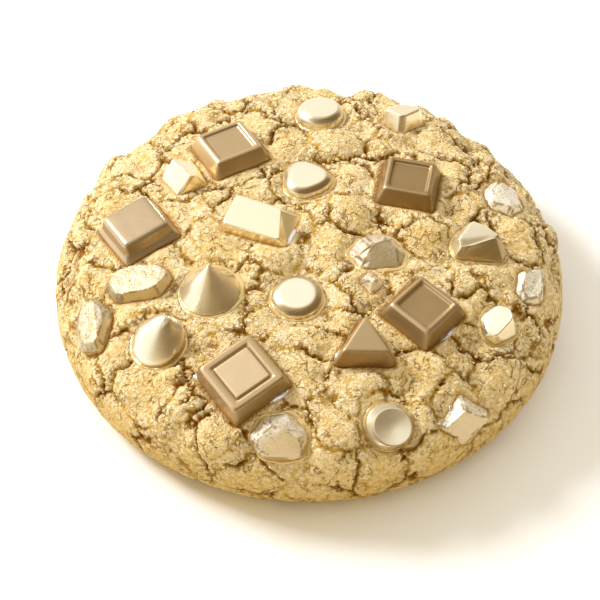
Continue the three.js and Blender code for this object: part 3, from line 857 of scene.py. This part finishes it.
# Each vertex's tone: the chip's own, with painted light and shade changed by the way it faces and by where
# it lies
def chipTones(name, piece):
    plain = chipTone.get(name, 0.5)
    if nodeSlot[name] == "foil_chocolate":
        return [plain] * len(piece.data.vertices)
    lit, shaded = (Vector(toneSlope[key]).normalized() for key in ("lit", "shaded"))
    start, fadeIn, end, fadeOut = shoulderBand.values()
    centre, along, across, half = panelOf(name)
    axis = along.cross(across)
    axis *= math.copysign(1.0, axis.z)
    tones = []
    for vertex in piece.data.vertices:
        toLight, toShade = (max(0.0, vertex.normal.dot(way)) for way in (lit, shaded))
        tone = plain + toneSlope["change"] * (toShade - toLight)
        tone += paintedFrontShade.get(name, 0.0) * toShade
        # painted shade round the shoulder, or a painted highlight where negative, more on faces turned to
        # the front
        if name in paintedShoulderShadeAndHighlight:
            level = vertex.normal.dot(axis)  # 1 on the flat top, 0 on a wall
            band = min((level - start) / fadeIn, (end - level) / fadeOut)
            band = max(0.0, min(1.0, band))
            tone += paintedShoulderShadeAndHighlight[name] * band * (0.6 - 0.4 * vertex.normal.y)
        # a painted highlight round the panel where negative, a deeper frame where positive
        if name in frameTone:
            offset = vertex.co - centre
            out = max(abs(offset.dot(along)), abs(offset.dot(across)))
            tone += frameTone[name] * min(1.0, max(0.0, (out - half + 0.1 * mm) / (0.3 * mm)))
        tones.append(tone)
    return tones


def makeChip(name):
    slot = nodeSlot[name]
    piece = mergedCopy(name, name not in moulded + piped)
    rounded(piece, *edgeWear.get(name, edgeWear[slot]))
    if slot == "foil_chocolate":
        ridges = ridgeLines(name)
        addTree(piece, crinkle, {**foilFinish, "Ridges": ridges})
        bake(piece)
        bpy.data.objects.remove(ridges)
    else:
        bake(piece)
    smoothFaces(piece)
    tones = piece.data.attributes.new("tone", "FLOAT", "POINT")
    tones.data.foreach_set("value", chipTones(name, piece))
    piece.data.materials.clear()
    piece.data.materials.append(special.get(name, slotMaterials[slot]))
    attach(piece, "root")
    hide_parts(name)
    return piece


chips = {name: makeChip(name) for name in chipNodes}
print("chocolate made:", sum(len(c.data.polygons) for c in chips.values()), "faces")


# Melted rims, and silver slivers that paint glints

rimSizes = {
    "climb": 0.28, "uneven": 0.25, "lean": 0.3, "under": 0.45, "inside": 0.7, "lip": 0.06, "steps": 96,
    "glintClimb": 0.4, "glintSteps": 12, "search": 12, "rounds": 12, "above": 10, "centreDepth": 80,
}
# Painted glints: shiny silver slivers between some chips and the dough, standing in for highlights
paintedGlints = (  # chip, direction of the middle and half the arc in degrees, width
    ("bar_block", -28, 17, 0.9), ("bar_square_right", -38, 20, 0.8), ("bar_square_front", -32, 15, 1.0),
    ("bar_square_front", 172, 6, 0.8), ("triangle", 196, 11, 0.6),
    ("cube_front", 150, 9, 0.7), ("cube_front", 196, 6, 0.7),
)


# Where a chip's side meets the dough in each direction: places with their ways out and up
def meetingLine(chip, doughShell, angles):
    side = shell(chip)
    corners = [v.co for v in chip.data.vertices]
    centre = sum(corners, Vector()) / len(corners)
    up = (centre - Vector((0, 0, -rimSizes["centreDepth"] * mm))).normalized()
    right = Vector((0, 1, 0)).cross(up).normalized()
    away = up.cross(right)
    line = []
    for angle in angles:
        out = right * math.cos(angle) + away * math.sin(angle)
        inner, outer = 0.0, rimSizes["search"] * mm
        for _ in range(rimSizes["rounds"]):
            middle = (inner + outer) / 2
            point = groundAt(doughShell, centre + out * middle, up)
            near, normal = side.find_nearest(point)[:2]
            if (point - near).dot(normal) < 0:
                inner = middle
            else:
                outer = middle
        line.append((centre + out * outer, out, up))
    return line


# The dough's surface above or below a place
def groundAt(doughShell, place, up):
    return doughShell.ray_cast(place + up * rimSizes["above"] * mm, -up)[0]


# A section of melted chocolate, from the chip's side over to the dough and back underneath
def beadSection(doughShell, place, out, up, width, climb):
    section = []
    for share in (0.0, 0.35, 0.65, 0.85, 1.0):
        ground = groundAt(doughShell, place + out * (width * share * mm), up)
        rise = climb * math.sqrt(1 - share ** 2) - rimSizes["lip"] * share
        section.append(ground + up * (rise * mm))
    inside = section[0] - out * (rimSizes["inside"] * mm)
    under = up * (rimSizes["under"] * mm)
    return [inside, *section, section[-1] - under, inside - under - up * (climb * mm)]


# Sections joined into a closed ring, or a run with its two ends closed
def bead(vertices, faces, sections, closed):
    first, count, points = len(vertices), len(sections), len(sections[0])
    for section in sections:
        vertices.extend(section)
    for i in range(count if closed else count - 1):
        here, there = first + i * points, first + (i + 1) % count * points
        for j in range(points):
            k = (j + 1) % points
            faces.append((here + j, here + k, there + k, there + j))
    if not closed:
        faces.append(tuple(range(first + points - 1, first - 1, -1)))
        faces.append(tuple(range(first + (count - 1) * points, first + count * points)))


def finishBeads(name, vertices, faces, material):
    piece = newPiece(name, vertices, faces)
    smoothFaces(piece)
    piece.data.materials.append(material)
    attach(piece, "root")
    return piece


def makeRims(doughShell):
    vertices, faces, steps = [], [], rimSizes["steps"]
    angles = [2 * math.pi * i / steps for i in range(steps)]
    for number, (name, (width, widest)) in enumerate(rimmed.items()):
        sections = []
        for angle, (place, out, up) in zip(angles, meetingLine(chips[name], doughShell, angles)):
            wave = math.sin(3 * angle + 2.1 * number) + 0.6 * math.sin(7 * angle + 1.3 * number)
            wide = 1 + rimSizes["uneven"] * wave
            wide += rimSizes["lean"] * math.cos(angle - math.radians(widest))
            sections.append(beadSection(doughShell, place, out, up, width * wide, rimSizes["climb"] * wide))
        bead(vertices, faces, sections, True)
    return finishBeads("melted_rims", vertices, faces, meltMaterial)


# Silver slivers along a chip's foot, a painted glint
def makePaintedGlints(doughShell):
    vertices, faces, steps = [], [], rimSizes["glintSteps"]
    shares = [i / steps for i in range(steps + 1)]
    for name, middle, half, width in paintedGlints:
        angles = [math.radians(middle + half * (2 * share - 1)) for share in shares]
        sections = []
        for share, (place, out, up) in zip(shares, meetingLine(chips[name], doughShell, angles)):
            size = 0.15 + 0.85 * math.sin(math.pi * share)
            climb = rimSizes["glintClimb"] * size
            sections.append(beadSection(doughShell, place, out, up, width * size, climb))
        bead(vertices, faces, sections, False)
    return finishBeads("silver_pools", vertices, faces, paintedGlintMaterial)


doughShell = shell(dough)
beads = (makeRims(doughShell), makePaintedGlints(doughShell))
print("melted rims and pools made:", sum(len(b.data.polygons) for b in beads), "faces")


# Crumbs

crumbKinds = {  # Density is to a square millimetre; Hollow is 1 where they lie in the hollows alone
    "crumbs_coarse": {"Size": 1.5, "Spread": 0.35, "Density": 0.07, "Detail": 3, "Seed": 11, "Hollow": 1.0},
    "crumbs_fine": {"Size": 0.8, "Spread": 0.4, "Density": 0.2, "Detail": 2, "Seed": 27, "Hollow": 1.0},
    "dough_grains": {"Size": 0.6, "Spread": 0.4, "Density": 0.08, "Detail": 1, "Seed": 5, "Hollow": 0.0},
}


def randomVector(seed, low, high):
    inputs = {0: low, 1: high, "Seed": seed}
    return made(seed.id_data, "FunctionNodeRandomValue", inputs, data_type="FLOAT_VECTOR")


# Uneven lumps strewn over the dough's hollows, or over all of its crown
def crumbTree(sizes, material):
    tree, given = geometryTree("crumbs", {**sizes, "Widest": doughRelief["Widest"]})
    crevice, near, crest = (named(tree, key) for key in ("crevice", "near", "crest"))
    clear = times(ramp(near, 0.6, 1.2), ramp(crest, 0.35, 0.8))
    often = times(ramp(crevice, 0.25, 0.8), clear)
    often = made(tree, "ShaderNodeMix", {0: given["Hollow"], 2: clear, 3: often})
    density = times(times(given["Density"], often), 1e6)
    spots = made(tree, "GeometryNodeDistributePointsOnFaces", {
        0: given["Geometry"], "Density": density, "Seed": given["Seed"]})
    ball = made(tree, "GeometryNodeMeshIcoSphere", {"Radius": mm * 0.5, "Subdivisions": given["Detail"]})
    least, most = minus(1.0, given["Spread"]), plus(1.0, given["Spread"])
    grow = addNode(tree, "FunctionNodeRandomValue", {2: least, 3: most, "Seed": given["Seed"]}).outputs[1]
    shape = randomVector(given["Seed"], (0.65, 0.65, 0.5), (1.25, 1.25, 0.9))
    size = scaled(shape, times(grow, given["Size"]))
    turn = randomVector(given["Seed"], (0.0, 0.0, 0.0), (6.28, 6.28, 6.28))
    placed = made(tree, "GeometryNodeInstanceOnPoints", {
        0: spots, "Instance": ball, "Rotation": turn, "Scale": size})
    real = made(tree, "GeometryNodeRealizeInstances", {0: placed})
    place = scaled(own(tree, "Position"), 1 / mm)
    normal = own(tree, "Normal")
    pitch = maths("DIVIDE", 1.3, given["Size"])
    uneven = minus(noise(place, pitch, 4.0, 0.75), 0.5)
    craggy = offsetBy(real, normal, times(times(uneven, given["Size"]), 1.3))
    return closeTree(tree, heldInside(craggy, given["Widest"]), material)


def makeCrumbs(name, sizes):
    crumbs = linked(name, dough.data.copy())
    addTree(crumbs, crumbTree(sizes, looseCrumb if sizes["Hollow"] else surfaceGrain), sizes)
    bake(crumbs)
    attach(crumbs, "root")
    return crumbs


for name, sizes in crumbKinds.items():
    crumbs = makeCrumbs(name, sizes)
    print(name, "made:", len(crumbs.data.polygons), "faces")

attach(dough, "root")
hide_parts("dough")


# Studio

studio = {  # lengths in metres, but floorDrop, lens and sensor in millimetres; elevation in degrees
    "floor": (0.93, 0.925, 0.915), "floorTint": (0.9, 0.89, 0.87), "floorSize": 3.0, "floorDrop": 0.05,
    "brightSide": (0.48, 0.66, 0.58), "brightSky": 1.06, "dimSky": 0.8,
    "brightTone": (0.98, 0.99, 1.0), "dimTone": (1.0, 0.83, 0.5),
    "mirrorSide": (-0.25, 0.35, 0.9), "mirrorBright": (1.0, 0.985, 0.94), "mirrorTone": (1.0, 0.76, 0.42),
    "mirrorSky": 1.05, "mirrorDim": 0.26, "mirrorHorizon": 0.45, "mirrorLeft": 0.9, "mirrorBack": 0.9,
    "lens": 150.0, "sensor": 36.0, "target": (-0.00202, 0.0, 0.005), "elevation": 49.4, "distance": 0.548,
}
lamp = {"place": (-0.5, 0.24, 0.46), "size": 0.24, "power": 5.7, "colour": (0.97, 0.97, 1.02)}


def makeFloor():
    half = studio["floorSize"] / 2
    under = -studio["floorDrop"] * mm  # just clear of the base
    corners = [(-half, -half, under), (half, -half, under), (half, half, under), (-half, half, under)]
    floor = newPiece("floor", corners, [(0, 1, 2, 3)])
    material, shader, place = newMaterial("paleFloor")
    base = layer(studio["floor"], noise(place, 0.004), 0.05, studio["floorTint"])
    fill(shader, {"Base Color": base, "Roughness": 0.9})
    floor.data.materials.append(material)


def makeLamp():
    light = bpy.data.lights.new("left", "AREA")
    light.size, light.energy, light.color = lamp["size"], lamp["power"], lamp["colour"]
    left = linked("left", light)
    left.location = lamp["place"]
    left.rotation_euler = (-Vector(lamp["place"])).to_track_quat("-Z", "Y").to_euler()


def makeWorld():
    world = bpy.data.worlds.new("studio")
    world.use_nodes = True
    tree = world.node_tree
    tree.nodes.clear()
    aim = tree.nodes.new("ShaderNodeTexCoord").outputs["Generated"]
    share = ramp(facing(aim, studio["brightSide"]), 0.05, 0.92)
    strength = timesPlus(share, studio["brightSky"] - studio["dimSky"], studio["dimSky"])
    tone = mixColour(share, studio["dimTone"], studio["brightTone"])
    sky = made(tree, "ShaderNodeBackground", {"Color": tone, "Strength": strength})

    # polished faces mirror a deeper, more golden room than the one that lights the dough
    across, back, above = axes(aim)[:3]
    share = ramp(facing(aim, studio["mirrorSide"]), 0.55, 0.88)
    share = larger(share, ramp(across, -0.35, -0.85))
    share = larger(share, times(ramp(back, 0.3, 0.8), studio["mirrorBack"]))
    strength = timesPlus(share, studio["mirrorSky"] - studio["mirrorDim"], studio["mirrorDim"])
    leftward = timesPlus(ramp(across, 0.3, -0.3), studio["mirrorLeft"], 1.0)
    horizon = times(ramp(above, 0.5, 0.2), leftward)
    strength = larger(strength, times(horizon, studio["mirrorHorizon"]))
    tone = mixColour(share, studio["mirrorTone"], studio["mirrorBright"])
    mirrored = made(tree, "ShaderNodeBackground", {"Color": tone, "Strength": strength})
    glossy = tree.nodes.new("ShaderNodeLightPath").outputs["Is Glossy Ray"]
    both = made(tree, "ShaderNodeMixShader", {0: glossy, 1: sky, 2: mirrored})
    addNode(tree, "ShaderNodeOutputWorld", {0: both})
    bpy.context.scene.world = world


def makeCamera():
    lens = bpy.data.cameras.new("camera")
    lens.lens = studio["lens"]
    lens.sensor_width = studio["sensor"]
    lens.clip_start, lens.clip_end = 0.01, 20.0
    camera = linked("camera", lens)
    tilt = math.radians(studio["elevation"])
    back = Vector((0.0, -math.cos(tilt), math.sin(tilt)))
    camera.location = Vector(studio["target"]) + back * studio["distance"]
    camera.rotation_euler = back.to_track_quat("Z", "Y").to_euler()
    bpy.context.scene.camera = camera


makeFloor()
makeLamp()
makeWorld()
makeCamera()
bpy.context.scene.view_settings.view_transform = "Standard"
print("studio ready")
